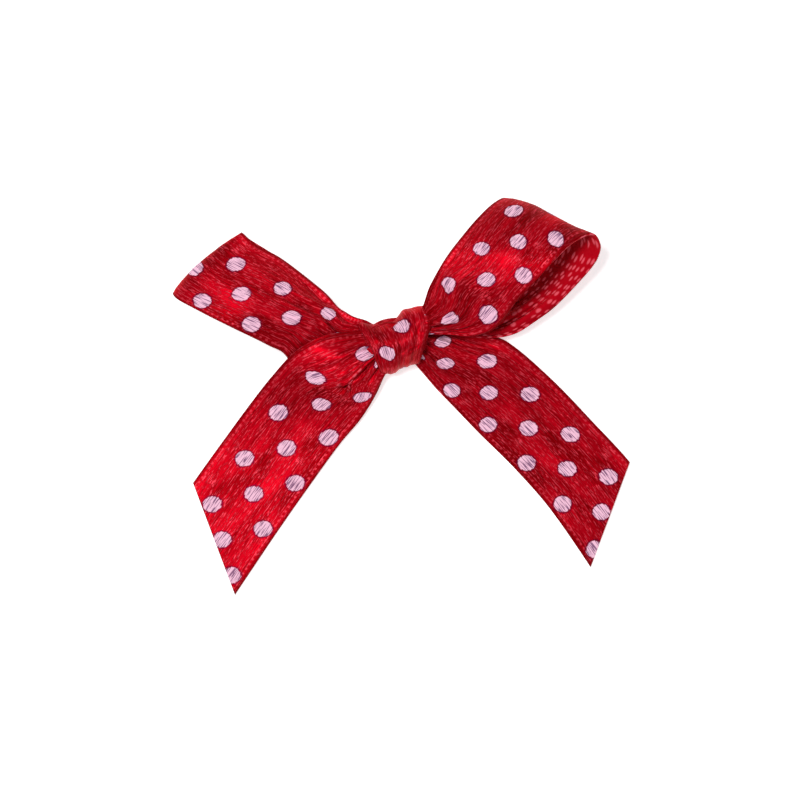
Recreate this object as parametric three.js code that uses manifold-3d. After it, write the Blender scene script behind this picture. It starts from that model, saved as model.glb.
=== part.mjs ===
// A small bow tied by hand from one length of printed satin ribbon, lying flat.
// Millimetres. +X right, +Y up the bow, +Z out of its face. The origin is under
// the middle of the knot, on the surface that the bow lies on (Z = 0).
//
// The ribbon runs: left tail, knot, back and front of the left loop, across the
// knot, front and back of the right loop, knot, right tail. Each stretch of it is
// a mesh of its own. A stretch that something else lies on is divided at its flex
// line into a root, which stays with the knot, and the free part.
import * as THREE from "three";
import { mergeVertices } from "three/addons/utils/BufferGeometryUtils.js";
import Module from "manifold-3d";

const wasm = await Module();
wasm.setup();

// ---- Driving dimensions (mm, degrees) ----
const RIBBON_WIDTH = 10;
const RIBBON_THICKNESS = 0.4;
const GAP = 0.3; // clearance between neighbouring stretches
const FLEX_SLIT = 0.6; // slit between a root and its free part

const KNOT_LENGTH = 6.6; // along Y, down the wrap
const KNOT_HEIGHT = 5.2; // along Z
const KNOT_TOP_WIDTH = 7.2; // along X, where the wrap comes over the top
const KNOT_FOOT_WIDTH = 4.4; // along X, where it tucks in at the bottom
const WRAP_THICKNESS = 1.0; // the pleated ribbon, several layers deep
const KNOT_CORNER = 2.2; // rounding of the wrap's section
const KNOT_SHIFT = -0.5; // the wrap sits a little left of the crossing

const WAIST = 3.6; // width of the gathered ribbon where it leaves the knot
const PINCH = 1.6; // height of a loop's two layers where the knot grips them

const TAIL_REST = 0.35; // height of a tail's middle layer where it lies flat
const LEFT_TAIL = {
  heading: 231,
  start: [-3.3, -1.3],
  flare: 6.2, // length over which it opens to its full width
  shift: -1.1, // sideways drift of its middle line over that length
  longEdge: 29.2,
  shortEdge: 23,
  lift: 3.5, // height at the knot: it crosses over the left loop
  crossing: 5.6, // how far it stays up before it comes down
  descent: 5.2,
};
const RIGHT_TAIL = {
  heading: 316.5,
  start: [3.8, -1.2],
  flare: 7,
  shift: 1.3,
  longEdge: 27.6,
  shortEdge: 23.2,
  lift: 1.2,
  crossing: 0.4,
  descent: 4.5,
  flex: 5.6, // distance of the flex line from the knot
};
const LEFT_LOOP = {
  heading: 157,
  start: [-3.2, 1.3],
  flare: 9,
  shift: 0.9,
  length: 19.2,
  height: 3.5,
  base: 0.2,
  roll: 0,
  slant: 0.3, // the fold leans: the loop is longer along its lower edge
  flex: 8.4,
};
const RIGHT_LOOP = {
  heading: 43,
  start: [3.0, 1.4],
  flare: 9,
  shift: -2.6,
  length: 17.6,
  height: 6.2,
  base: 1.3,
  roll: 22, // its lower right edge is raised, so that the hollow shows in front
  slant: -0.25,
};

// ---- Helpers ----
const half = (value) => value / 2;

function smoothstep(t) {
  const c = Math.min(1, Math.max(0, t));
  return c * c * (3 - 2 * c);
}

// A three.js geometry as a manifold solid: only positions, shared vertices merged.
function solid(geometry) {
  const bare = geometry.clone();
  bare.deleteAttribute("normal");
  bare.deleteAttribute("uv");
  const merged = mergeVertices(bare, 1e-4);
  return new wasm.Manifold(
    new wasm.Mesh({
      numProp: 3,
      vertProperties: merged.attributes.position.array,
      triVerts: new Uint32Array(merged.index.array),
    }),
  );
}

// A manifold solid as a three.js geometry.
function geometryOf(body) {
  const data = body.getMesh();
  const geometry = new THREE.BufferGeometry();
  geometry.setAttribute("position", new THREE.BufferAttribute(data.vertProperties, 3));
  geometry.setIndex(new THREE.BufferAttribute(data.triVerts, 1));
  return geometry;
}

// A manifold solid as a named three.js mesh.
function meshOf(name, body, material) {
  const geometry = geometryOf(body);
  geometry.computeVertexNormals();
  const mesh = new THREE.Mesh(geometry, material);
  mesh.name = name;
  return mesh;
}

// A side view (x, z) extruded across the ribbon, centred on y = 0.
function acrossRibbon(shape, width) {
  const geometry = new THREE.ExtrudeGeometry(shape, { depth: width, bevelEnabled: false });
  geometry.rotateX(Math.PI / 2);
  geometry.translate(0, half(width), 0);
  return solid(geometry);
}

// A plan view (x, y) extruded through every height.
function throughHeight(shape) {
  const depth = 40;
  const geometry = new THREE.ExtrudeGeometry(shape, { depth, bevelEnabled: false });
  geometry.translate(0, 0, -half(depth));
  return solid(geometry);
}

// The side view of a ribbon whose middle layer follows the given points.
function ribbonProfile(points, steps) {
  const line = new THREE.SplineCurve(points.map(([x, z]) => new THREE.Vector2(x, z)));
  const upper = [];
  const lower = [];
  for (let i = 0; i <= steps; i++) {
    const at = line.getPointAt(i / steps);
    const along = line.getTangentAt(i / steps);
    const normal = new THREE.Vector2(-along.y, along.x);
    upper.push(at.clone().addScaledVector(normal, half(RIBBON_THICKNESS)));
    lower.push(at.clone().addScaledVector(normal, -half(RIBBON_THICKNESS)));
  }
  return new THREE.Shape([...upper, ...lower.reverse()]);
}

// The plan of a stretch: gathered at the knot, full width further out, and cut
// off on a slant that reaches leftEnd on its left edge and rightEnd on its right.
function stretchPlan({ flare, shift }, leftEnd, rightEnd) {
  const steps = 8;
  const edge = (side) =>
    Array.from({ length: steps + 1 }, (_, i) => {
      const open = smoothstep(i / steps);
      const width = WAIST + (RIBBON_WIDTH - WAIST) * open;
      return new THREE.Vector2((flare * i) / steps, shift * open + side * half(width));
    });
  const left = edge(1);
  const right = edge(-1);
  left.push(new THREE.Vector2(leftEnd, shift + half(RIBBON_WIDTH)));
  right.push(new THREE.Vector2(rightEnd, shift - half(RIBBON_WIDTH)));
  return throughHeight(new THREE.Shape([...right, ...left.reverse()]));
}

// Everything of a stretch between two distances from the knot.
function lengthwise(from, to) {
  const width = 4 * RIBBON_WIDTH;
  const geometry = new THREE.BoxGeometry(to - from, width, width);
  geometry.translate(half(from + to), 0, 0);
  return solid(geometry);
}

// The place of a stretch: moved to its start, turned to its heading and rolled.
function placement({ start, heading, roll = 0 }) {
  const group = new THREE.Group();
  group.position.set(start[0], start[1], 0);
  group.rotation.order = "ZYX";
  group.rotation.z = THREE.MathUtils.degToRad(heading);
  group.rotation.x = -THREE.MathUtils.degToRad(roll);
  group.updateMatrix();
  return group;
}

// The knot's outside with its clearance, as seen from the frame of a stretch.
function knotClearance(group) {
  const geometry = geometryOf(knotOutside(GAP));
  geometry.translate(KNOT_SHIFT, 0, 0);
  geometry.applyMatrix4(group.matrix.clone().invert());
  return solid(geometry);
}

// A stretch with the room for the knot cut out of it, in its place.
function stretch(place, pieces, material) {
  const group = placement(place);
  const knot = knotClearance(group);
  for (const [name, body] of Object.entries(pieces)) {
    group.add(meshOf(name, body.subtract(knot), material));
  }
  return group;
}

// A ribbon band divided at the flex line, with a slit between the two parts.
function divided(band, flex, rootName, freeName) {
  return {
    [rootName]: band.intersect(lengthwise(-RIBBON_WIDTH, flex - half(FLEX_SLIT))),
    [freeName]: band.intersect(lengthwise(flex + half(FLEX_SLIT), 6 * RIBBON_WIDTH)),
  };
}

const satin = (color) =>
  new THREE.MeshStandardMaterial({ color, roughness: 0.4, metalness: 0 });

// ---- Knot ----
// The wrap's section in (y, z): flat underneath, rounded all round.
function knotSection(inset) {
  const across = KNOT_LENGTH - 2 * inset;
  const high = KNOT_HEIGHT - 2 * inset;
  const corner = Math.min(KNOT_CORNER, 0.42 * high);
  const left = -half(across);
  const shape = new THREE.Shape();
  shape.moveTo(left + corner, inset);
  shape.lineTo(-left - corner, inset);
  shape.quadraticCurveTo(-left, inset, -left, inset + corner);
  shape.lineTo(-left, inset + high - corner);
  shape.quadraticCurveTo(-left, inset + high, -left - corner, inset + high);
  shape.lineTo(left + corner, inset + high);
  shape.quadraticCurveTo(left, inset + high, left, inset + high - corner);
  shape.lineTo(left, inset + corner);
  shape.quadraticCurveTo(left, inset, left + corner, inset);
  return shape;
}

// A (y, z) section extruded along X, centred.
function alongKnot(shape, width) {
  const geometry = new THREE.ExtrudeGeometry(shape, {
    depth: width,
    bevelEnabled: false,
    curveSegments: 8,
  });
  geometry.rotateZ(Math.PI / 2);
  geometry.rotateY(Math.PI / 2);
  geometry.translate(-half(width), 0, 0);
  return solid(geometry);
}

// The wrap's outside without its hollow, grown by a margin: narrow at the foot and
// spreading to the top.
function knotOutside(margin) {
  const foot = half(KNOT_FOOT_WIDTH) + margin;
  const top = half(KNOT_TOP_WIDTH) + margin;
  const end = half(KNOT_LENGTH) + margin;
  const plan = new THREE.Shape();
  plan.moveTo(-foot, -end);
  plan.lineTo(foot, -end);
  plan.quadraticCurveTo(foot, 0, top, end);
  plan.lineTo(-top, end);
  plan.quadraticCurveTo(-foot, 0, -foot, -end);
  return alongKnot(knotSection(-margin), 2 * top).intersect(throughHeight(plan));
}

function knotWrap() {
  const hollow = alongKnot(knotSection(WRAP_THICKNESS), 2 * KNOT_TOP_WIDTH);
  const mesh = meshOf("knot_wrap", knotOutside(0).subtract(hollow), satin(0xab0e1b));
  mesh.position.x = KNOT_SHIFT;
  return mesh;
}

// The crossing that the wrap squeezes together.
function knotCore() {
  const width = KNOT_FOOT_WIDTH + 2 * GAP;
  const mesh = meshOf(
    "knot_core",
    alongKnot(knotSection(WRAP_THICKNESS + GAP), width),
    satin(0x8c0012),
  );
  mesh.position.x = KNOT_SHIFT;
  return mesh;
}

// ---- Tails ----
function tailBand(tail, longSide) {
  const { longEdge, shortEdge, lift, crossing, descent } = tail;
  const level = lift + (TAIL_REST - lift) * 0.5;
  const landing = crossing + descent;
  const profile = ribbonProfile(
    [
      [0, lift],
      [crossing, lift],
      [crossing + half(descent), level],
      [landing, TAIL_REST],
      [landing + half(longEdge - landing), TAIL_REST],
      [longEdge + RIBBON_WIDTH, TAIL_REST],
    ],
    60,
  );
  const ends = longSide > 0 ? [longEdge, shortEdge] : [shortEdge, longEdge];
  return acrossRibbon(profile, 2 * RIBBON_WIDTH).intersect(stretchPlan(tail, ...ends));
}

function leftTail() {
  return stretch(LEFT_TAIL, { left_tail: tailBand(LEFT_TAIL, 1) }, satin(0xb01020));
}

function rightTail() {
  const band = tailBand(RIGHT_TAIL, -1);
  const parts = divided(band, RIGHT_TAIL.flex, "right_tail_root", "right_tail");
  return stretch(RIGHT_TAIL, parts, satin(0xa80d1a));
}

// ---- Loops ----
// Out from the knot by one layer, round the fold and back by the other, with the
// two layers pinched together where the knot grips them.
function loopBand(loop) {
  const { length, height, base, slant } = loop;
  const low = base + half(RIBBON_THICKNESS);
  const high = base + height - half(RIBBON_THICKNESS);
  const middle = half(low + high);
  const pinchHigh = low + PINCH;
  const fold = half(high - low);
  const profile = ribbonProfile(
    [
      [0, pinchHigh],
      [0.28 * length, half(pinchHigh + high) + 0.4],
      [0.55 * length, high],
      [length - fold, high - 0.1 * height],
      [length, middle - 0.05 * height],
      [length - fold, low],
      [0.5 * length, low],
      [0, low],
    ],
    90,
  );
  const pinch = new THREE.BoxGeometry(1.2, WAIST, pinchHigh - low);
  pinch.translate(0.6, 0, half(low + pinchHigh));
  const band = acrossRibbon(profile, 2 * RIBBON_WIDTH)
    .intersect(stretchPlan(loop, 2 * length, 2 * length))
    .add(solid(pinch));
  return solid(geometryOf(band).applyMatrix4(new THREE.Matrix4().makeShear(0, 0, slant, 0, 0, 0)));
}

function leftLoop() {
  const parts = divided(loopBand(LEFT_LOOP), LEFT_LOOP.flex, "left_loop_root", "left_loop");
  return stretch(LEFT_LOOP, parts, satin(0xa80d1a));
}

function rightLoop() {
  return stretch(RIGHT_LOOP, { right_loop: loopBand(RIGHT_LOOP) }, satin(0xb01020));
}

const bow = new THREE.Group();
bow.add(knotWrap(), knotCore(), leftLoop(), leftTail(), rightLoop(), rightTail());

export default bow;
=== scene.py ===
# %% [markdown]
# # A small bow tied from printed satin ribbon
# The object is one length of 10 mm satin ribbon, tied in a bow that lies flat. The
# frame already holds its rigid stand-ins: a knot, two loops and two tails, hinged
# where the ribbon flexes. This lesson makes the cloth that goes over them. Each
# stretch of ribbon starts as a flat grid of its true width and length, so that the
# print and the weave are laid out flat, as in the mill, and is then bent into place.

import math

import bmesh
import bpy
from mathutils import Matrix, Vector, noise


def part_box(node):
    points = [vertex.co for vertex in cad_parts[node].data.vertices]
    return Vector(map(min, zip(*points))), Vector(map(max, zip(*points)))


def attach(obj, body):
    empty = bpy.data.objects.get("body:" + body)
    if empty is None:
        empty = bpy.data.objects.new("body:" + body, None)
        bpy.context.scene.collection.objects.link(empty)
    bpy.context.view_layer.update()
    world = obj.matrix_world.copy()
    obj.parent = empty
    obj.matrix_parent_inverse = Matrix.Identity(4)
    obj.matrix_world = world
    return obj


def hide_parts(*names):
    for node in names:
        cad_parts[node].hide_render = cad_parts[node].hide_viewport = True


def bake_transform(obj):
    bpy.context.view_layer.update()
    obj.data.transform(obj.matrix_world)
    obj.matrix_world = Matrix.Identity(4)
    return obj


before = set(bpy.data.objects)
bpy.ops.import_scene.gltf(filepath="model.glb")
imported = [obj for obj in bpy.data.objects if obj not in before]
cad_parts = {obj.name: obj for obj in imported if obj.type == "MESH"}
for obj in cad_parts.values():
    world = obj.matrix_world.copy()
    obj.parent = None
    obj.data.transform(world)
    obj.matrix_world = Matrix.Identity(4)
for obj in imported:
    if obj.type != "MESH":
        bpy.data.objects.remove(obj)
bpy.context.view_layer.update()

# %% [markdown]
# ## The camera
# A bow this small is best seen lying flat, from straight above. The camera could
# stand close with a wide lens, but a long lens from half a metre keeps the loops and
# the tails in true proportion.

# %% Camera
MM = 0.001
VIEW_WIDTH = 86.0 * MM
VIEW_CENTRE = (0.0, -6.35 * MM)
CAMERA_HEIGHT = 0.5
SENSOR = 36.0

scene = bpy.context.scene
camera_data = bpy.data.cameras.new("camera")
camera_data.sensor_width = SENSOR
camera_data.lens = SENSOR * CAMERA_HEIGHT / VIEW_WIDTH
camera_data.clip_start = 0.01
camera_data.clip_end = 5.0
camera = bpy.data.objects.new("camera", camera_data)
camera.location = (*VIEW_CENTRE, CAMERA_HEIGHT)
scene.collection.objects.link(camera)
scene.camera = camera
print("lens", round(camera_data.lens), "mm")

# %% [markdown]
# ## The paper and the light
# The bow lies on white paper. One soft light from the upper left gives the satin its
# sheen and a faint shadow on the lower right. A weaker one from the lower right
# reaches into the open right loop. The paper gives off a little light of its own, so
# that it stays white and the shadow on it stays faint.

# %% Paper and light
PAPER_SIZE = 0.6
PAPER_WHITE = (0.9, 0.9, 0.9)
PAPER_ROUGHNESS = 0.9
PAPER_GLOW = 0.5
ROOM_LIGHT = 0.26
WHITE = (1.0, 1.0, 1.0, 1.0)


def white_paper():
    material = bpy.data.materials.new("white_paper")
    material.use_nodes = True
    shader = material.node_tree.nodes["Principled BSDF"]
    shader.inputs["Base Color"].default_value = (*PAPER_WHITE, 1.0)
    shader.inputs["Roughness"].default_value = PAPER_ROUGHNESS
    shader.inputs["Emission Color"].default_value = WHITE
    shader.inputs["Emission Strength"].default_value = PAPER_GLOW
    return material


def lay_paper():
    sheet = bmesh.new()
    bmesh.ops.create_grid(sheet, x_segments=1, y_segments=1, size=PAPER_SIZE)
    mesh = bpy.data.meshes.new("paper")
    sheet.to_mesh(mesh)
    sheet.free()
    mesh.materials.append(white_paper())
    obj = bpy.data.objects.new("paper", mesh)
    scene.collection.objects.link(obj)


def soft_light(name, place, size, power):
    """A square lamp that faces the bow."""
    data = bpy.data.lights.new(name, "AREA")
    data.size = size
    data.energy = power
    light = bpy.data.objects.new(name, data)
    light.location = place
    light.rotation_euler = (-Vector(place)).to_track_quat("-Z", "Y").to_euler()
    scene.collection.objects.link(light)


lay_paper()
soft_light("key_overhead", place=(-0.14, 0.08, 0.53), size=0.15, power=2.5)
soft_light("fill_lower_right", place=(0.24, -0.34, 0.36), size=0.22, power=0.6)
world = bpy.data.worlds.new("studio")
world.use_nodes = True
world.node_tree.nodes["Background"].inputs["Color"].default_value = WHITE
world.node_tree.nodes["Background"].inputs["Strength"].default_value = ROOM_LIGHT
scene.world = world
scene.view_settings.view_transform = "Standard"
print("paper", 2 * PAPER_SIZE, "m across, 2 lamps")

# %% [markdown]
# ## Helpers for node trees
# A material is a tree of small nodes. It could be linked by hand, one socket at a
# time. These helpers add a node, link it and give back its output, so that a pattern
# reads like a formula.

# %% Node helpers


class Nodes:
    """Adds nodes to one tree and links them."""

    def __init__(self, tree):
        self.tree = tree

    def add(self, kind, **settings):
        node = self.tree.nodes.new(kind)
        for key, value in settings.items():
            setattr(node, key, value)
        return node

    def link(self, source, target):
        self.tree.links.new(source, target)

    def math(self, operation, *values):
        node = self.add("ShaderNodeMath", operation=operation)
        for socket, value in zip(node.inputs, values):
            if isinstance(value, (int, float)):
                socket.default_value = value
            else:
                self.link(value, socket)
        return node.outputs[0]

    def ramp(self, value, low, high):
        """A smooth step from 0 at low to 1 at high."""
        node = self.add("ShaderNodeMapRange", interpolation_type="SMOOTHSTEP")
        self.link(value, node.inputs["Value"])
        node.inputs["From Min"].default_value = low
        node.inputs["From Max"].default_value = high
        return node.outputs["Result"]

    def mix(self, share, first, second):
        """A share of the second colour over the first."""
        node = self.add("ShaderNodeMix", data_type="RGBA")
        self.link(share, node.inputs["Factor"])
        for name, value in (("A", first), ("B", second)):
            socket = next(s for s in node.inputs if s.name == name and s.type == "RGBA")
            if isinstance(value, tuple):
                socket.default_value = (*value, 1.0)
            else:
                self.link(value, socket)
        return next(s for s in node.outputs if s.type == "RGBA")

    def stretched(self, plan, along, across, seed=0.0):
        """The flat plan, shrunk by so many millimetres along and across the ribbon."""
        mapping = self.add("ShaderNodeMapping")
        mapping.inputs["Scale"].default_value = (1.0 / along, 1.0 / across, 1.0)
        mapping.inputs["Location"].default_value = (seed, seed, seed)
        self.link(plan, mapping.inputs["Vector"])
        return mapping.outputs[0]

    def stretched_noise(self, plan, along, across, detail=2.0, seed=0.0):
        """Noise whose grains are so many millimetres along and across the ribbon."""
        grain = self.add("ShaderNodeTexNoise", noise_dimensions="2D")
        grain.inputs["Scale"].default_value = 1.0
        grain.inputs["Detail"].default_value = detail
        self.link(self.stretched(plan, along, across, seed), grain.inputs["Vector"])
        return grain.outputs["Fac"]


def new_group(name, inputs, outputs):
    """An empty node group. Inputs are (name, socket kind, default), outputs are masks."""
    tree = bpy.data.node_groups.new(name, "ShaderNodeTree")
    for label, kind, default in inputs:
        socket = tree.interface.new_socket(label, in_out="INPUT", socket_type=kind)
        if default is not None:
            socket.default_value = default
    for label in outputs:
        tree.interface.new_socket(label, in_out="OUTPUT", socket_type="NodeSocketFloat")
    nodes = Nodes(tree)
    start = nodes.add("NodeGroupInput")
    end = nodes.add("NodeGroupOutput")
    return nodes, start, end


print("node helpers ready")

# %% [markdown]
# ## The weave
# Satin shows long floats of warp yarn, so its face is a field of fine lines that run
# along the ribbon, and each float catches the light as a short bright tick. Noise that
# is stretched along the ribbon paints such ticks into the colour as painted highlights,
# and a slower noise paints broad bands of sheen. The ribbon's own UV map is its flat
# plan in millimetres, U along and V across, so the lines follow every bend. Along
# each edge runs the selvage, a dense dark border with a row of small pale picks where
# the weft turns back. Both faces need these lines, so they are a node group.

# %% The floats of the satin
# Ribbon sizes are in millimetres. A pair is a length along the ribbon and one across
# it, and a ramp is where a mask starts to rise and where it is full.
RIBBON_WIDTH = 10.2
LONG_FLOAT = (1.5, 0.13)
SHORT_FLOAT = (0.55, 0.11)
LONG_SHARE = 0.6
TICK_RAMP = (0.52, 0.66)
YARN = (3.0, 0.09)
SHEEN_DRIFT = (9.0, 2.2)
# The grain of the slow noise that paints the sheen.
SELVAGE = 0.5
SELVAGE_FADE = 0.3
PICK_STEP = 0.62
PICK_WIDTH = (0.05, 0.16)
PICK_RAMP = (0.1, 0.6)


def satin_floats():
    """Painted highlight ticks, fine yarn lines, a slow painted sheen and the selvage, from the ribbon's
    flat plan.
    """
    nodes, start, end = new_group(
        "satin_floats",
        [("Plan", "NodeSocketVector", None)],
        ["Ticks", "Yarn", "Painted sheen", "Selvage", "Picks"],
    )
    plan = start.outputs["Plan"]
    parts = nodes.add("ShaderNodeSeparateXYZ")
    nodes.link(plan, parts.inputs[0])
    long_floats = nodes.stretched_noise(plan, *LONG_FLOAT)
    short_floats = nodes.stretched_noise(plan, *SHORT_FLOAT, detail=1.0, seed=7.0)
    long_part = nodes.math("MULTIPLY", long_floats, LONG_SHARE)
    both = nodes.math("MULTIPLY_ADD", short_floats, 1.0 - LONG_SHARE, long_part)
    nodes.link(nodes.ramp(both, *TICK_RAMP), end.inputs["Ticks"])
    nodes.link(nodes.stretched_noise(plan, *YARN, detail=1.0, seed=3.0), end.inputs["Yarn"])
    nodes.link(nodes.stretched_noise(plan, *SHEEN_DRIFT, seed=5.0), end.inputs["Painted sheen"])
    across = parts.outputs["Y"]
    inset = nodes.math("MINIMUM", across, nodes.math("SUBTRACT", RIBBON_WIDTH, across))
    inside = nodes.ramp(inset, SELVAGE_FADE * SELVAGE, SELVAGE)
    nodes.link(nodes.math("SUBTRACT", 1.0, inside), end.inputs["Selvage"])
    from_border = nodes.math("ABSOLUTE", nodes.math("SUBTRACT", inset, SELVAGE))
    border = nodes.math("SUBTRACT", 1.0, nodes.ramp(from_border, *PICK_WIDTH))
    beat = nodes.math("SINE", nodes.math("MULTIPLY", parts.outputs["X"], math.tau / PICK_STEP))
    picks = nodes.math("MULTIPLY", border, nodes.ramp(beat, *PICK_RAMP))
    nodes.link(picks, end.inputs["Picks"])
    return nodes.tree


floats_group = satin_floats()
print("satin floats:", len(floats_group.nodes), "nodes")

# %% [markdown]
# ## The print
# Dots of pale ink are screened on the satin in three rows, the middle row half a
# step on. They could be small discs of mesh, but ink has no thickness to speak of.
# Each row's distance to its nearest dot comes from wrapping the length around the
# step, and the smallest of the three tells whether ink covers the spot. The ink sits
# on the floats and leaves thin gaps between them, so the dots show dark hairlines
# along the ribbon and a slightly ragged rim.

# %% Printed dots
DOT_STEP = 6.0
DOT_RADIUS = 0.9
# Each row's height across the ribbon, and its shift along it in steps.
DOT_ROWS = ((1.38, 0.0), (4.25, 0.5), (7.22, 0.0))
DOT_SOFTNESS = 0.05
RAGGEDNESS = 0.26
RAGGED_GRAIN = (0.5, 0.2)
RIM_OUTSIDE = 0.08
RIM_WIDTH = 0.14
HAIRLINE = (1.6, 0.095)
HAIRLINE_RAMP = (0.555, 0.62)


def printed_dots():
    """Ink, its dark rim and the gaps in it. Start is where on the plan the print begins."""
    nodes, start, end = new_group(
        "printed_dots",
        [("Plan", "NodeSocketVector", None), ("Start", "NodeSocketFloat", 0.0)],
        ["Ink", "Rim", "Gaps"],
    )
    plan = start.outputs["Plan"]
    parts = nodes.add("ShaderNodeSeparateXYZ")
    nodes.link(plan, parts.inputs[0])
    along = nodes.math("SUBTRACT", parts.outputs["X"], start.outputs["Start"])
    nearest = None
    for height, shift in DOT_ROWS:
        moved = nodes.math("SUBTRACT", along, shift * DOT_STEP)
        step = nodes.math("WRAP", moved, 0.5 * DOT_STEP, -0.5 * DOT_STEP)
        rise = nodes.math("SUBTRACT", parts.outputs["Y"], height)
        square = nodes.math("MULTIPLY_ADD", step, step, nodes.math("MULTIPLY", rise, rise))
        nearest = square if nearest is None else nodes.math("MINIMUM", nearest, square)
    distance = nodes.math("SQRT", nearest)
    grain = nodes.stretched_noise(plan, *RAGGED_GRAIN, detail=1.0, seed=11.0)
    ragged = nodes.math("MULTIPLY", nodes.math("SUBTRACT", grain, 0.5), RAGGEDNESS)
    edge = nodes.math("ADD", distance, ragged)
    outside = nodes.ramp(edge, DOT_RADIUS - DOT_SOFTNESS, DOT_RADIUS + DOT_SOFTNESS)
    nodes.link(nodes.math("SUBTRACT", 1.0, outside), end.inputs["Ink"])
    from_rim = nodes.math("ABSOLUTE", nodes.math("SUBTRACT", edge, DOT_RADIUS + RIM_OUTSIDE))
    nodes.link(nodes.math("SUBTRACT", 1.0, nodes.ramp(from_rim, 0.0, RIM_WIDTH)), end.inputs["Rim"])
    hairlines = nodes.stretched_noise(plan, *HAIRLINE, detail=0.0, seed=17.0)
    nodes.link(nodes.ramp(hairlines, *HAIRLINE_RAMP), end.inputs["Gaps"])
    return nodes.tree


dots_group = printed_dots()
print("printed dots:", len(dots_group.nodes), "nodes")

# %% [markdown]
# ## The face of the satin
# The face is deep red with painted highlights on its floats, a slow painted sheen and
# the print. Smooth yarns that all lie one way throw the light back in a band across
# them, and the light takes the yarn's colour. So the shader is part metallic with a red
# tint, and anisotropic along a tangent from the flat plan, which a plain gloss can't do.
# The ink is matt and lies over all of that.

# %% Satin face
DEEP_RED = (0.17, 0.0001, 0.0012)
# The bright red is the lit end of a painted sheen, on both faces.
PAINTED_SHEEN_RED = (0.52, 0.0014, 0.010)
# The pink is a painted highlight on the ticks of the floats, and the pale colour of the selvage picks.
GLINT_AND_PICK_PINK = (0.84, 0.066, 0.105)
INK = (0.84, 0.50, 0.64)
INK_GAP = (0.09, 0.02, 0.10)
RIM_DARK = (0.13, 0.0, 0.02)
SHEEN_TINT = (1.0, 0.015, 0.04, 1.0)
YARN_WEIGHT = 0.9
GROUND_RAMP = (0.55, 1.35)
TICK_STRENGTH = 0.6
SELVAGE_STRENGTH = 0.7
PICK_STRENGTH = 0.4
RIM_STRENGTH = 0.9
GAP_STRENGTH = 0.8
SATIN_GLEAM = 0.38
SATIN_ROUGHNESS = 0.45
INK_ROUGHNESS = 0.65
YARN_RISE = 0.7
TICK_RISE = 0.5
FACE_SHINE = {
    "Anisotropic": 0.75,
    "Anisotropic Rotation": 0.25,
    "IOR": 1.35,
    "Specular IOR Level": 0.3,
    "Specular Tint": SHEEN_TINT,
}


def add_bump(nodes, shader, height, strength, depth):
    """Fine relief, of that depth in metres."""
    bump = nodes.add("ShaderNodeBump")
    bump.inputs["Strength"].default_value = strength
    bump.inputs["Distance"].default_value = depth
    nodes.link(height, bump.inputs["Height"])
    nodes.link(bump.outputs["Normal"], shader.inputs["Normal"])


def start_satin(name, shine):
    """A material with the weave's group in it: its nodes, shader, flat plan and floats."""
    material = bpy.data.materials.new(name)
    material.use_nodes = True
    nodes = Nodes(material.node_tree)
    shader = material.node_tree.nodes["Principled BSDF"]
    for label, value in shine.items():
        shader.inputs[label].default_value = value
    plan = nodes.add("ShaderNodeUVMap", uv_map="plan").outputs["UV"]
    floats = nodes.add("ShaderNodeGroup", node_tree=floats_group)
    nodes.link(plan, floats.inputs["Plan"])
    return material, nodes, shader, plan, floats.outputs


def satin_face(name, print_start, printed=1.0):
    """The ribbon's face. Printed is 0 where no print shows."""
    material, nodes, shader, plan, floats = start_satin(name, FACE_SHINE)
    dots = nodes.add("ShaderNodeGroup", node_tree=dots_group)
    nodes.link(plan, dots.inputs["Plan"])
    dots.inputs["Start"].default_value = print_start
    ink_mask = dots.outputs["Ink"]
    # The ground is real yarn lines and a slow painted sheen, from deep red up to the painted lit red.
    sheen = nodes.math("MULTIPLY_ADD", floats["Yarn"], YARN_WEIGHT, floats["Painted sheen"])
    colour = nodes.mix(nodes.ramp(sheen, *GROUND_RAMP), DEEP_RED, PAINTED_SHEEN_RED)
    # Over the ground go painted highlight ticks, the selvage and its picks, and the dark rim of the
    # print.
    for mask, strength, over in (
        (floats["Ticks"], TICK_STRENGTH, GLINT_AND_PICK_PINK),
        (floats["Selvage"], SELVAGE_STRENGTH, DEEP_RED),
        (floats["Picks"], PICK_STRENGTH, GLINT_AND_PICK_PINK),
        (dots.outputs["Rim"], RIM_STRENGTH * printed, RIM_DARK),
    ):
        colour = nodes.mix(nodes.math("MULTIPLY", mask, strength), colour, over)
    ink = nodes.mix(nodes.math("MULTIPLY", dots.outputs["Gaps"], GAP_STRENGTH), INK, INK_GAP)
    colour = nodes.mix(nodes.math("MULTIPLY", ink_mask, printed), colour, ink)
    nodes.link(colour, shader.inputs["Base Color"])
    gleam = nodes.math("MULTIPLY_ADD", ink_mask, -SATIN_GLEAM * printed, SATIN_GLEAM)
    nodes.link(gleam, shader.inputs["Metallic"])
    matter = (INK_ROUGHNESS - SATIN_ROUGHNESS) * printed
    nodes.link(nodes.math("MULTIPLY_ADD", ink_mask, matter, SATIN_ROUGHNESS), shader.inputs["Roughness"])
    ticks_up = nodes.math("MULTIPLY", floats["Ticks"], TICK_RISE)
    height = nodes.math("MULTIPLY_ADD", floats["Yarn"], YARN_RISE, ticks_up)
    add_bump(nodes, shader, height, strength=0.8, depth=0.06 * MM)
    warp = nodes.add("ShaderNodeTangent", direction_type="UV_MAP", uv_map="plan")
    nodes.link(warp.outputs["Tangent"], shader.inputs["Tangent"])
    return material


print("satin face ready")

# %% [markdown]
# ## The reverse of the satin
# The reverse is duller and unprinted, and shows the binding points as rows of small
# pale ticks. Cells that are a little uneven, longer along the ribbon than across,
# place them as a loom does, where a regular grid would look printed.

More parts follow.
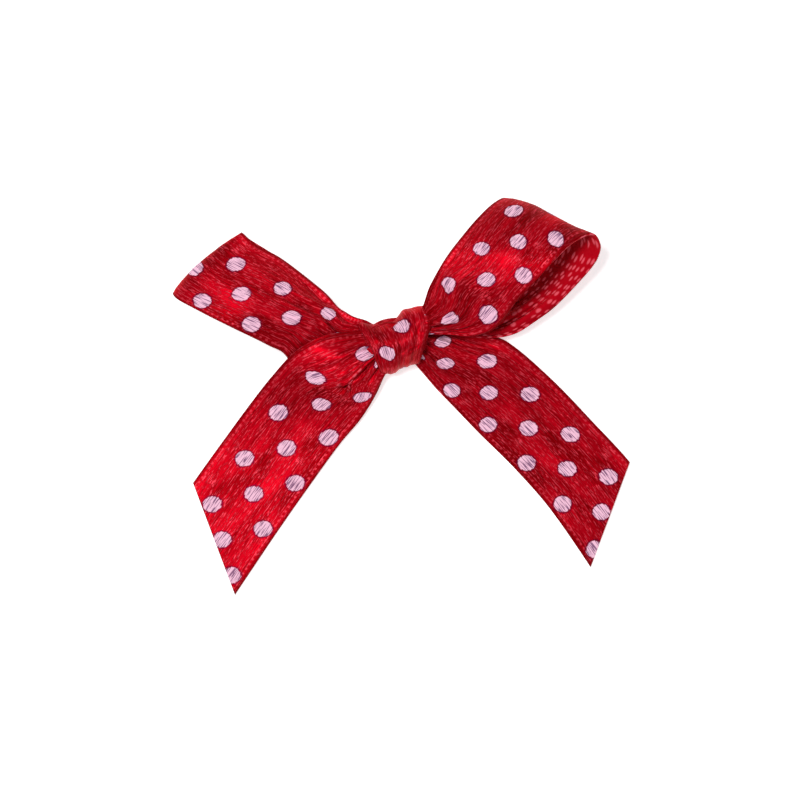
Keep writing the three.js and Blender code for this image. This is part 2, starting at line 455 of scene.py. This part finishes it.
# %% Satin reverse
REVERSE_RED = (0.17, 0.0004, 0.003)
REVERSE_TICK = (0.75, 0.10, 0.14)
BINDING_STEP = (1.25, 0.46)
BINDING_UNEVENNESS = 0.55
BINDING_SIZE = (0.14, 0.36)
BINDING_STRENGTH = 0.8
REVERSE_SHINE = {"Roughness": 0.6, "Specular IOR Level": 0.35, "Specular Tint": SHEEN_TINT}


def satin_reverse():
    """The unprinted side, which is the same on every stretch."""
    material, nodes, shader, plan, floats = start_satin("satin_reverse", REVERSE_SHINE)
    points = nodes.add("ShaderNodeTexVoronoi", voronoi_dimensions="2D", feature="F1")
    points.inputs["Scale"].default_value = 1.0
    points.inputs["Randomness"].default_value = BINDING_UNEVENNESS
    nodes.link(nodes.stretched(plan, *BINDING_STEP), points.inputs["Vector"])
    away = nodes.ramp(points.outputs["Distance"], *BINDING_SIZE)
    ticks = nodes.math("SUBTRACT", 1.0, away)
    # The same painted sheen lies on the reverse, from its own red up to the painted lit red.
    ground = nodes.mix(floats["Painted sheen"], REVERSE_RED, PAINTED_SHEEN_RED)
    colour = nodes.mix(nodes.math("MULTIPLY", ticks, BINDING_STRENGTH), ground, REVERSE_TICK)
    nodes.link(colour, shader.inputs["Base Color"])
    add_bump(nodes, shader, ticks, strength=0.5, depth=0.05 * MM)
    return material


reverse_material = satin_reverse()
print("satin reverse ready")

# %% [markdown]
# ## Lines along the ribbon
# A real ribbon bends but hardly stretches. It could be dropped in place by a cloth
# simulation, but a tied bow's shape is in its knot, so here the bends are given one by
# one. A ribbon is described by three lines that run along it: its near edge, its
# middle and its far edge. Each is a smooth curve through a few points, and each point
# says how many millimetres along the flat ribbon it lies.

# %% Lines along the ribbon
# A step short enough to measure a slope with.
HAIR = 0.01


class Line:
    """A smooth curve through points (distance along the ribbon, x, y, z), in mm."""

    def __init__(self, *points):
        self.at = [p[0] for p in points]
        self.place = [Vector(p[1:]) for p in points]
        last = len(points) - 1
        self.slope = []
        for i in range(len(points)):
            low, high = max(i - 1, 0), min(i + 1, last)
            self.slope.append((self.place[high] - self.place[low]) / (self.at[high] - self.at[low]))

    def __call__(self, along):
        i = 0
        while i < len(self.at) - 2 and along > self.at[i + 1]:
            i += 1
        step = self.at[i + 1] - self.at[i]
        t = (along - self.at[i]) / step
        t2, t3 = t * t, t * t * t
        return (
            self.place[i] * (2 * t3 - 3 * t2 + 1)
            + self.slope[i] * (step * (t3 - 2 * t2 + t))
            + self.place[i + 1] * (3 * t2 - 2 * t3)
            + self.slope[i + 1] * (step * (t3 - t2))
        )


def smooth(value, low=0.0, high=1.0):
    """0 below low, 1 above high, with a soft step between."""
    t = min(1.0, max(0.0, (value - low) / (high - low)))
    return t * t * (3 - 2 * t)


def across_lines(lines, along, share):
    """The point a share of the way across, on the arc through the three lines."""
    near, middle, far = (line(along) for line in lines)
    return (
        near * ((1 - share) * (1 - 2 * share))
        + middle * (4 * share * (1 - share))
        + far * (share * (2 * share - 1))
    )


print("lines ready")

# %% [markdown]
# ## Where the spare width goes
# The knot squeezes the ribbon to about half its width, and the rest has to go
# somewhere. Some of it stands up in pleats, whose depth follows from the spare width.
# Some lies in folds between the rows of dots, so that the dots keep their size. The
# left tail also hides a strip in one deep fold. Fine creases start at the knot and
# die out along the ribbon, and slow ripples keep the rest from looking like card.

# %% Pleats, folds and ripples
ROW_GAP = 2.92
MOST_SPREAD = -0.2
MOST_GATHER = 0.75
TUCK_DEPTH = 0.8
PLEAT_DEPTH = 0.8
PLEAT_ONSET = 1.25
CRUSH_DEPTH = 0.09
CRUSH_REACH = 8.0


def spare_width(lines, along):
    """The room between the lines, and how many times that the flat ribbon measures."""
    near, middle, far = (line(along) for line in lines)
    room = (middle - near).length + (far - middle).length
    return room, RIBBON_WIDTH / max(room, 1.0)


def tuck_under(share, along, middle, half, closed, opened):
    """Hides a strip of the width in a fold that opens out along the ribbon."""
    held = 1.0 - smooth(along, closed, opened)
    if share < middle - half:
        pulled = share * middle / (middle - half)
    elif share > middle + half:
        pulled = 1.0 - (1.0 - share) * (1.0 - middle) / (1.0 - middle - half)
    else:
        pulled = middle
    inside = max(0.0, 1.0 - abs(share - middle) / half)
    return share + held * (pulled - share), held * inside * half * RIBBON_WIDTH * TUCK_DEPTH


def gathered_share(lines, along, share, tuck):
    """Moves a point across so that the rows of dots stay wide and the cloth between folds."""
    ends = [share, share + HAIR]
    if tuck:
        ends = [tuck_under(end, along, *tuck)[0] for end in ends]
    near, far = (across_lines(lines, along, end) for end in ends)
    width_here = (far - near).length / HAIR
    lack = RIBBON_WIDTH / max(width_here, 1.0) - 1.0
    lack = max(MOST_SPREAD, min(lack, MOST_GATHER))
    turn = math.tau / ROW_GAP
    return share + lack * math.sin(turn * (share * RIBBON_WIDTH - DOT_ROWS[0][0])) / (turn * RIBBON_WIDTH)


def pleats_and_ripples(lines, along, share, from_knot, pleats, phase, ripple):
    """How far the cloth stands off the arc through its lines, in mm."""
    room, ratio = spare_width(lines, along)
    depth = room / (math.pi * pleats) * math.sqrt(max(ratio - 1.0, 0.0))
    depth *= PLEAT_DEPTH * smooth(ratio, 1.0, PLEAT_ONSET)
    wander = 0.35 * noise.noise(Vector((0.18 * along, 2.0 * share, phase)))
    wide = math.sin(math.tau * (pleats * share + wander) + phase)
    narrow = math.sin(math.tau * (2.3 * pleats * share + 1.7 * wander) + 2.0 * phase)
    crease = math.sin(math.tau * (2.3 * pleats * share + 1.4 * wander) + phase)
    slow = noise.noise(Vector((0.11 * along, 7.0 * share, 3.1 + phase)))
    quick = noise.noise(Vector((0.35 * along, 1.8 * share, 9.7 + phase)))
    return (
        depth * (wide + 0.45 * narrow)
        + ripple * (slow + 0.6 * quick)
        + CRUSH_DEPTH * math.exp(-from_knot / CRUSH_REACH) * crease
    )


print("pleats and folds ready")

# %% [markdown]
# ## Bending the flat ribbon
# The ribbon is cut flat first. Its plan goes into a UV map while it is flat, and only
# then is each point moved to its place on the arc, plus the pleats. Flip turns the
# face to the other side, for the stretches that run from the knot to the left.

# %% Bend a ribbon
CELL_LENGTH = 0.17
CELLS_ACROSS = 62
TABLE_GAP = 0.12
LIGHT_RIPPLE = 0.09


def flat_ribbon(cells, length, start=0.0):
    """A grid of side 1, with the ribbon's flat plan in millimetres as its UV map."""
    cloth = bmesh.new()
    bmesh.ops.create_grid(cloth, x_segments=cells[0], y_segments=cells[1], size=0.5)
    plan = cloth.loops.layers.uv.new("plan")
    for face in cloth.faces:
        for corner in face.loops:
            spot = corner.vert.co
            corner[plan].uv = (start + (spot.x + 0.5) * length, (spot.y + 0.5) * RIBBON_WIDTH)
    return cloth


def ribbon(
    lines, length, pleats, phase, start=0.0, ripple=LIGHT_RIPPLE, flip=False, tuck=None, loop=False
):
    """A ribbon of that length bent along its three lines.

    Phase makes each stretch's pleats its own. Both ends of a loop are at the knot.
    """
    cloth = flat_ribbon((int(length / CELL_LENGTH), CELLS_ACROSS), length, start)
    for vert in cloth.verts:
        along = start + (vert.co.x + 0.5) * length
        share = vert.co.y + 0.5
        if share < 1.0 - HAIR:
            share = gathered_share(lines, along, share, tuck)
        dip = 0.0
        if tuck:
            share, dip = tuck_under(share, along, *tuck)
        here = across_lines(lines, along, share)
        onward = across_lines(lines, along + HAIR, share) - here
        beside = min(share + HAIR, 1.0)
        sideways = across_lines(lines, along, beside) - across_lines(lines, along, beside - HAIR)
        normal = onward.cross(sideways).normalized()
        if flip:
            normal.negate()
        from_knot = along - start
        if loop:
            from_knot = min(from_knot, length - from_knot)
        lift = pleats_and_ripples(lines, along, share, from_knot, pleats, phase, ripple) - dip
        vert.co = (here + normal * lift) * MM
        vert.co.z = max(vert.co.z, TABLE_GAP * MM)
    if flip:
        bmesh.ops.reverse_faces(cloth, faces=cloth.faces[:])
    return cloth


print("ribbon bending ready")

# %% [markdown]
# ## Scissors and thickness
# A ribbon's end is cut on the slant so that it frays less. A plane through the cloth
# cuts it as clean as scissors do. A thickness goes on last, inwards from the face, and
# its inner side and its edge get the reverse's material.

# %% Scissors and thickness
CLOTH_THICKNESS = 0.22
UP = Vector((0.0, 0.0, 1.0))


def scissors(cloth, first, second, keep):
    """Cuts the ribbon on the upright plane through two plan points."""
    a, b, inside = (Vector((x, y, 0.0)) * MM for x, y in (first, second, keep))
    normal = (b - a).cross(UP).normalized()
    if normal.dot(inside - a) > 0:
        normal.negate()
    bmesh.ops.bisect_plane(
        cloth,
        geom=cloth.verts[:] + cloth.edges[:] + cloth.faces[:],
        plane_co=a,
        plane_no=normal,
        clear_outer=True,
    )


def finish_ribbon(name, cloth, face_material, thickness=CLOTH_THICKNESS):
    """The cloth as an object, with its two faces and a thickness."""
    mesh = bpy.data.meshes.new(name)
    cloth.to_mesh(mesh)
    cloth.free()
    for polygon in mesh.polygons:
        polygon.use_smooth = True
    mesh.materials.append(face_material)
    mesh.materials.append(reverse_material)
    obj = bpy.data.objects.new(name, mesh)
    scene.collection.objects.link(obj)
    wall = obj.modifiers.new("cloth_thickness", "SOLIDIFY")
    wall.thickness = thickness * MM
    wall.offset = -1.0
    wall.material_offset = 1
    wall.material_offset_rim = 1
    print(name, len(mesh.polygons), "faces")
    return obj


print("scissors and thickness ready")

# %% [markdown]
# ## The left tail
# It leaves the knot over the base of the left loop, drops to the table and ends in a
# slanted cut. Its printed side is up. It is made a little too long and cut to length,
# as a person does after tying, and it starts a few millimetres inside the knot.

# %% Left tail
TAIL_START = -3.0
UNCUT_TAIL = 37.0
KNOT_PLACE = (0.0, 0.0)
left_tail_lines = (
    Line(
        (-3, -0.6, 0.2, 2.4), (0, -1.0, -1.9, 2.4), (3, -1.75, -4.0, 1.9),
        (6, -2.6, -5.9, 1.4), (9, -4.2, -8.4, 0.8), (12, -6.4, -11.0, 0.5),
        (18, -9.95, -15.9, 0.4), (24, -13.4, -20.85, 0.35), (34, -19.0, -29.2, 0.35),
    ),
    Line(
        (-3, -0.9, -0.6, 2.8), (0, -3.3, -1.95, 3.0), (3, -5.4, -3.7, 3.0),
        (6, -7.4, -5.2, 2.5), (9, -9.2, -6.4, 1.8), (12, -11.1, -8.7, 1.1),
        (18, -14.75, -13.6, 0.6), (24, -18.2, -18.5, 0.5), (34, -23.9, -26.7, 0.45),
    ),
    Line(
        (-3, -2.2, 1.2, 2.8), (0, -4.9, 1.0, 3.1), (3, -8.4, 0.35, 3.8), (6, -11.3, -1.3, 3.3),
        (9, -13.7, -3.8, 2.2), (12, -15.7, -6.3, 1.3), (18, -19.4, -11.3, 0.5),
        (24, -22.9, -16.2, 0.35), (34, -28.7, -24.5, 0.35),
    ),
)
# The hidden strip's middle and half width, as shares of the ribbon's width, and where
# along the ribbon its fold starts and ends to open.
LEFT_TAIL_TUCK = (0.41, 0.11, 3.6, 6.5)
# Two points on the table that the scissors pass over.
LEFT_CUT = ((-22.3, -15.1), (-17.8, -27.1))
cloth = ribbon(
    left_tail_lines,
    UNCUT_TAIL,
    pleats=4,
    phase=0.6,
    start=TAIL_START,
    ripple=0.08,
    flip=True,
    tuck=LEFT_TAIL_TUCK,
)
scissors(cloth, *LEFT_CUT, keep=KNOT_PLACE)
left_tail = finish_ribbon("left_tail_ribbon", cloth, satin_face("left_tail_satin", print_start=0.0))

# %% [markdown]
# ## The right tail
# It comes out from under the right loop and lies on the table, curving a little. It
# is the other end of the same ribbon, so its cut slants the other way.

# %% Right tail
right_tail_lines = (
    Line(
        (-3, 0.3, 0.0, 1.8), (0, 1.1, -1.5, 1.7), (3, 2.9, -3.6, 1.2), (6, 4.8, -5.9, 0.8),
        (12, 8.4, -9.8, 0.45), (18, 12.5, -13.9, 0.4), (24, 16.3, -18.3, 0.35),
        (34, 22.0, -26.6, 0.35),
    ),
    Line(
        (-3, 1.6, 0.2, 2.3), (0, 3.7, -1.0, 1.9), (3, 5.3, -2.05, 1.5), (6, 7.9, -3.45, 1.1),
        (12, 12.3, -6.9, 0.7), (18, 16.6, -11.1, 0.5), (24, 20.6, -15.6, 0.45),
        (34, 26.3, -23.5, 0.45),
    ),
    Line(
        (-3, 2.6, 1.4, 1.5), (0, 5.9, 1.9, 0.8), (3, 8.8, 0.9, 0.9), (6, 11.6, -0.15, 1.0),
        (12, 16.3, -4.15, 0.6), (18, 20.7, -8.7, 0.4), (24, 24.9, -13.3, 0.35),
        (34, 30.6, -21.4, 0.35),
    ),
)
RIGHT_CUT = ((24.7, -13.0), (20.7, -23.7))
cloth = ribbon(right_tail_lines, UNCUT_TAIL, pleats=4, phase=2.1, start=TAIL_START, ripple=0.12)
scissors(cloth, *RIGHT_CUT, keep=KNOT_PLACE)
right_tail = finish_ribbon("right_tail_ribbon", cloth, satin_face("right_tail_satin", print_start=0.0))

# %% [markdown]
# ## The left loop
# Its front layer slopes down to its upper edge. The fold at its end is pressed
# nearly flat, and the back layer comes home underneath. Points stand close together
# round the fold, where the ribbon turns fast, and far apart where it runs straight.

# %% Left loop
LEFT_LOOP_LENGTH = 48.0
left_loop_lines = (
    Line(
        (0, -2.4, 0.0, 2.2), (3, -4.9, -1.8, 2.1), (6, -7.9, -3.2, 1.8), (9, -10.8, -3.5, 1.8),
        (10.8, -12.5, -1.25, 2.8), (12, -13.9, -0.55, 3.2), (15, -16.9, 0.9, 3.8),
        (18, -19.6, 2.2, 3.8), (21, -22.1, 3.5, 3.3), (23, -23.9, 4.5, 2.6),
        (24, -24.35, 5.1, 1.8), (25.2, -23.6, 4.9, 0.9), (28, -20.8, 3.6, 0.6),
        (34, -15.4, 1.0, 0.5), (40, -9.5, -0.8, 0.6), (48, -2.4, 0.2, 1.4),
    ),
    Line(
        (0, -2.5, 0.7, 2.4), (3, -4.1, 0.7, 2.5), (6, -6.8, 0.7, 2.7), (9, -8.7, 2.0, 3.1),
        (12, -11.5, 3.1, 3.5), (15, -14.1, 4.4, 3.6), (18, -16.7, 5.7, 3.5),
        (21, -19.25, 6.85, 3.0), (23, -20.95, 8.0, 2.4), (24, -21.5, 8.4, 1.6),
        (25.2, -21.0, 7.9, 0.8), (28, -18.6, 6.8, 0.4), (34, -13.4, 4.1, 0.4),
        (40, -7.9, 1.6, 0.6), (48, -2.6, 0.7, 1.4),
    ),
    Line(
        (0, -2.5, 1.4, 2.2), (3, -3.6, 1.9, 1.9), (6, -5.1, 2.5, 1.6), (9, -6.6, 3.5, 1.3),
        (12, -8.8, 5.7, 1.1), (15, -10.9, 7.5, 1.0), (18, -13.1, 9.1, 1.0),
        (21, -15.6, 10.4, 1.0), (23, -16.8, 11.5, 0.9), (24, -17.0, 11.6, 0.6),
        (25.2, -16.3, 11.0, 0.35), (28, -14.3, 9.7, 0.25), (34, -9.9, 6.6, 0.3),
        (40, -6.0, 3.0, 0.5), (48, -2.8, 1.5, 1.4),
    ),
)
cloth = ribbon(left_loop_lines, LEFT_LOOP_LENGTH, pleats=4, phase=1.3, flip=True, loop=True)
left_loop = finish_ribbon("left_loop_ribbon", cloth, satin_face("left_loop_satin", print_start=2.65))

# %% [markdown]
# ## The right loop
# It stands more open and is rolled to the left, so the reverse of its back layer
# shows along its lower right side. Fine pleats fan out of the knot into its front.

# %% Right loop
RIGHT_LOOP_LENGTH = 50.0
RIGHT_LOOP_START = -3.0
right_loop_lines = (
    Line(
        (-3, 1.0, 0.6, 3.1), (0, 3.4, 1.0, 3.7), (1.5, 5.5, 1.0, 4.1), (3, 7.6, 0.7, 4.6),
        (4.5, 9.7, 1.0, 5.3), (6, 11.0, 2.1, 5.9), (9.2, 12.6, 4.4, 7.0),
        (12.4, 14.6, 6.5, 7.8), (15.8, 16.5, 8.6, 8.1), (19.1, 18.4, 10.4, 7.9),
        (21.4, 20.5, 11.35, 6.9), (22.9, 21.4, 10.0, 5.6), (23.8, 21.0, 8.5, 4.7),
        (26.8, 19.2, 6.3, 3.9), (30.6, 16.6, 3.7, 3.2), (33.6, 14.3, 1.9, 2.7),
        (36, 12.4, 0.75, 2.3), (38.4, 10.3, 0.3, 2.2), (42, 7.0, 0.5, 2.3),
        (47, 2.6, 0.8, 2.3),
    ),
    Line(
        (-3, 1.4, 1.3, 3.4), (0, 2.9, 1.6, 4.0), (3, 5.3, 2.8, 5.1), (6, 6.65, 5.3, 6.2),
        (9, 8.85, 7.1, 6.8), (12.2, 10.6, 9.25, 7.0), (15.4, 12.35, 11.4, 6.6),
        (17.9, 14.0, 13.2, 5.8), (19.7, 15.2, 14.0, 4.6), (21.1, 15.9, 13.3, 3.5),
        (23, 16.3, 11.6, 2.5), (25, 15.6, 9.0, 2.0), (29, 13.9, 6.1, 1.7),
        (33, 11.4, 3.9, 1.5), (37, 8.6, 2.3, 1.8), (42, 5.4, 1.5, 2.1), (47, 2.6, 1.3, 2.3),
    ),
    Line(
        (-3, 1.3, 1.9, 3.0), (0, 2.4, 3.6, 3.5), (3.2, 3.1, 5.6, 4.3), (6.3, 4.0, 7.3, 4.8),
        (9.4, 5.3, 9.4, 5.0), (12.8, 6.9, 11.4, 4.8), (16.3, 8.9, 13.7, 4.1),
        (18.7, 10.3, 14.9, 3.3), (19.9, 11.2, 15.3, 2.5), (21.1, 11.7, 14.7, 1.6),
        (23, 11.7, 12.8, 0.8), (25, 11.0, 10.4, 0.5), (29, 9.5, 7.7, 0.4), (34, 7.2, 5.0, 0.8),
        (40, 4.6, 3.0, 1.5), (47, 2.4, 1.8, 2.2),
    ),
)
cloth = ribbon(
    right_loop_lines,
    RIGHT_LOOP_LENGTH,
    pleats=5,
    phase=0.2,
    start=RIGHT_LOOP_START,
    loop=True,
)
right_loop = finish_ribbon("right_loop_ribbon", cloth, satin_face("right_loop_satin", print_start=-0.42))

# %% [markdown]
# ## The knot: its lanes
# The ribbon comes over the crossing from the top, closes up as it goes down, and
# tucks under. It is wide and domed at its upper right, and its yarns lean down to
# the right. Three lines are too few for such a dome, so the wrap has five lanes, each
# a share of the way across it.

# %% Knot lanes
KNOT_LENGTH = 12.4
knot_lanes = (
    (0.0, Line(
        (0, -3.1, 0.9, 0.5), (1.6, -3.9, 1.6, 1.4), (3, -4.1, 1.9, 2.7), (4.8, -3.7, 0.8, 3.7),
        (6.6, -2.9, -0.6, 4.1), (8.3, -2.4, -2.0, 3.9), (9.6, -1.9, -3.2, 3.0),
        (10.8, -1.7, -3.6, 1.8), (12.4, -1.4, -2.8, 0.6),
    )),
    (0.3, Line(
        (0, -1.9, 1.0, 0.4), (1.6, -2.4, 1.6, 1.4), (3, -2.3, 1.75, 2.8),
        (4.8, -1.7, 0.9, 4.2), (6.6, -0.9, -0.5, 4.8), (8.3, -0.5, -1.9, 4.5),
        (9.6, -0.6, -3.0, 3.4), (10.8, -0.7, -3.5, 2.0), (12.4, -0.6, -2.7, 0.6),
    )),
    (0.55, Line(
        (0, -0.7, 1.1, 0.4), (1.6, -0.9, 1.8, 1.3), (3, -0.7, 2.1, 2.9),
        (4.8, -0.05, 1.3, 4.4), (6.6, 0.4, -0.1, 5.1), (8.3, 0.5, -1.6, 4.7),
        (9.3, 0.3, -2.7, 3.5), (10.2, 0.2, -3.0, 2.2), (12.4, 0.1, -2.4, 0.7),
    )),
    (0.77, Line(
        (0, 0.5, 2.0, 0.8), (1.1, 0.4, 2.9, 1.8), (2.2, 0.6, 3.4, 3.2), (3.4, 1.1, 2.9, 4.4),
        (4.8, 1.45, 1.7, 5.0), (6.6, 1.6, 0.1, 5.1), (8.3, 1.5, -1.3, 4.5),
        (9.3, 1.3, -2.3, 3.4), (10.2, 1.0, -2.7, 2.2), (12.4, 0.8, -2.2, 0.7),
    )),
    (1.0, Line(
        (0, 1.9, 2.6, 1.2), (1.1, 2.3, 3.4, 2.0), (2.2, 2.8, 3.8, 3.0), (3.4, 3.3, 3.1, 3.9),
        (4.8, 3.5, 1.9, 4.3), (6.6, 3.1, 0.5, 4.3), (8.3, 2.6, -0.9, 3.8),
        (9.5, 2.3, -1.9, 3.0), (10.7, 2.0, -2.5, 2.0), (12.4, 1.7, -2.0, 0.7),
    )),
)
row_store = {}


def rows(along):
    """Smooth lines across the wrap, at that length along it and just after it.

    All the points of one row of the grid share them, so they are made once.
    """
    key = round(along, 4)
    if key not in row_store:
        row_store[key] = [
            Line(*((share, *lane(at)) for share, lane in knot_lanes)) for at in (along, along + HAIR)
        ]
    return row_store[key]


print("knot lanes:", len(knot_lanes))

# %% [markdown]
# ## The knot: its cloth
# The wrap is narrower than the ribbon, so a strip of it is turned under round the
# near lane. The rest has broad ridges with finer ones between, where the strand is
# bunched. One edge of the ribbon crosses the knot as a raised curl with a groove
# beside it, from the upper right, down and round to the left.

# %% Knot wrap
KNOT_CELLS = (110, 76)
KNOT_THICKNESS = 0.25
KNOT_TABLE_GAP = 0.15
TUCKED = 2.9
TUCK_RADIUS = 0.42
ON_TOP = (3.5, 10.5)
CURL_PATH = ((3.1, 1.4), (2.5, 0.75), (2.45, 0.1), (2.1, -0.8), (1.4, -1.2), (0.8, -1.6))
CURL_HEIGHT = 0.32
CURL_WIDTH = 0.28
GROOVE_BESIDE = (-0.55, 0.35)
GROOVE_DEPTH = 0.22
GROOVE_WIDTH = 0.3


def distance_to_path(x, y, path):
    """How far a plan point is from the nearest stretch of a path."""
    here = Vector((x, y))
    reach = []
    for first, second in zip(path, path[1:]):
        a, b = Vector(first), Vector(second)
        t = min(1.0, max(0.0, (here - a).dot(b - a) / (b - a).length_squared))
        reach.append((a.lerp(b, t) - here).length)
    return min(reach)


def knot_ridge(along, share):
    """Broad ridges, finer ones between them and a slow unevenness, in mm."""
    sway = noise.noise(Vector((0.25 * along, share, 4.0)))
    shiver = noise.noise(Vector((0.3 * along, 2.0 * share, 8.0)))
    uneven = noise.noise(Vector((0.35 * along, 3.2 * share, 1.0)))
    broad = math.sin(3.1 + 15.0 * share + 1.5 * sway)
    narrow = math.sin(37.0 * share + 2.2 * shiver)
    return 0.13 * broad + 0.10 * narrow + 0.16 * uneven


def knot_wrap_cloth():
    """The wrap bent along its lanes, with its spare strip turned under."""
    cloth = flat_ribbon(KNOT_CELLS, KNOT_LENGTH)
    for vert in cloth.verts:
        along = (vert.co.x + 0.5) * KNOT_LENGTH
        height = (vert.co.y + 0.5) * RIBBON_WIDTH
        share = max(0.0, (height - TUCKED) / (RIBBON_WIDTH - TUCKED))
        row, next_row = rows(along)
        base = min(share, 1.0 - HAIR)
        here = row(share)
        onward = (next_row(base) - row(base)).normalized()
        sideways = (row(base + HAIR) - row(base)).normalized()
        normal = onward.cross(sideways).normalized()
        crown = 0.25 + 0.6 * smooth(here.z, 2.4, 4.0)
        spot = here + normal * (knot_ridge(along, share) * crown)
        if height < TUCKED:
            over = TUCKED - height
            turn = min(over / TUCK_RADIUS, math.pi)
            spot -= sideways * (TUCK_RADIUS * math.sin(turn))
            spot -= normal * (TUCK_RADIUS * (1.0 - math.cos(turn)))
            spot += sideways * max(0.0, over - math.pi * TUCK_RADIUS)
        elif ON_TOP[0] < along < ON_TOP[1]:
            away = distance_to_path(spot.x, spot.y, CURL_PATH)
            spot.z += CURL_HEIGHT * math.exp(-((away / CURL_WIDTH) ** 2))
            away = distance_to_path(spot.x - GROOVE_BESIDE[0], spot.y - GROOVE_BESIDE[1], CURL_PATH)
            spot.z -= GROOVE_DEPTH * math.exp(-((away / GROOVE_WIDTH) ** 2))
        vert.co = spot * MM
        vert.co.z = max(vert.co.z, KNOT_TABLE_GAP * MM)
    return cloth


knot_face = satin_face("knot_satin", print_start=4.6)
knot_wrap = finish_ribbon("knot_wrap_ribbon", knot_wrap_cloth(), knot_face, KNOT_THICKNESS)

# %% [markdown]
# ## The knot: its core
# Inside the wrap the two strands cross. Only their pleated flanks show, left and
# right, so they are one ball of gathered cloth: a sphere, stretched and grooved. Two
# crossing ribbons would be truer inside, but nobody can see them there.

# %% Knot core
CORE_SEGMENTS = (96, 48)
CORE_SWELL = Vector((0.9, 0.25, 0.35)) * MM
CORE_GROOVES = 9.0
CORE_GROOVE_DEPTH = 0.09
CORE_YARN_SCALE = 3.0
CORE_PLAN_MIDDLE = 5.0
CORE_THICKNESS = 0.2

core_low, core_high = (Vector(corner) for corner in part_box("knot_core"))
core_middle = 0.5 * (core_low + core_high)
core_reach = 0.5 * (core_high - core_low) + CORE_SWELL
core = bmesh.new()
bmesh.ops.create_uvsphere(core, u_segments=CORE_SEGMENTS[0], v_segments=CORE_SEGMENTS[1], radius=1.0)
core_plan = core.loops.layers.uv.new("plan")
for face in core.faces:
    for corner in face.loops:
        spot = corner.vert.co
        turn = math.atan2(spot.y, spot.z)
        corner[core_plan].uv = (CORE_YARN_SCALE * spot.x, CORE_PLAN_MIDDLE + CORE_YARN_SCALE * turn)
for vert in core.verts:
    turn = math.atan2(vert.co.y, vert.co.z)
    groove = 1.0 + CORE_GROOVE_DEPTH * math.sin(CORE_GROOVES * turn + 2.0 * vert.co.x)
    shaped = Vector((vert.co.x, vert.co.y * groove, vert.co.z * groove))
    vert.co = core_middle + Vector(a * b for a, b in zip(shaped, core_reach))
core_face = satin_face("core_satin", print_start=0.0, printed=0.0)
knot_core = finish_ribbon("knot_core_gathers", core, core_face, CORE_THICKNESS)

# %% [markdown]
# ## The cloth over the frame
# Each loop and tail flexes at the knot. Its ribbon is baked in place, and the rigid
# stand-ins it covers are hidden. The knot's pieces ride on the knot, and its stand-ins
# are hidden too.

# %% Bake, hide and ride
STANDS_FOR = {
    "left_tail": ("left_tail",),
    "right_tail": ("right_tail", "right_tail_root"),
    "left_loop": ("left_loop", "left_loop_root"),
    "right_loop": ("right_loop",),
}
stretches = {
    "left_tail": left_tail,
    "right_tail": right_tail,
    "left_loop": left_loop,
    "right_loop": right_loop,
}
for body, piece in stretches.items():
    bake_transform(piece)
    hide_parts(*STANDS_FOR[body])
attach(knot_wrap, "knot")
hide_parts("knot_wrap")
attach(knot_core, "knot")
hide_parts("knot_core")
print("pieces joined:", len(stretches) + 2)
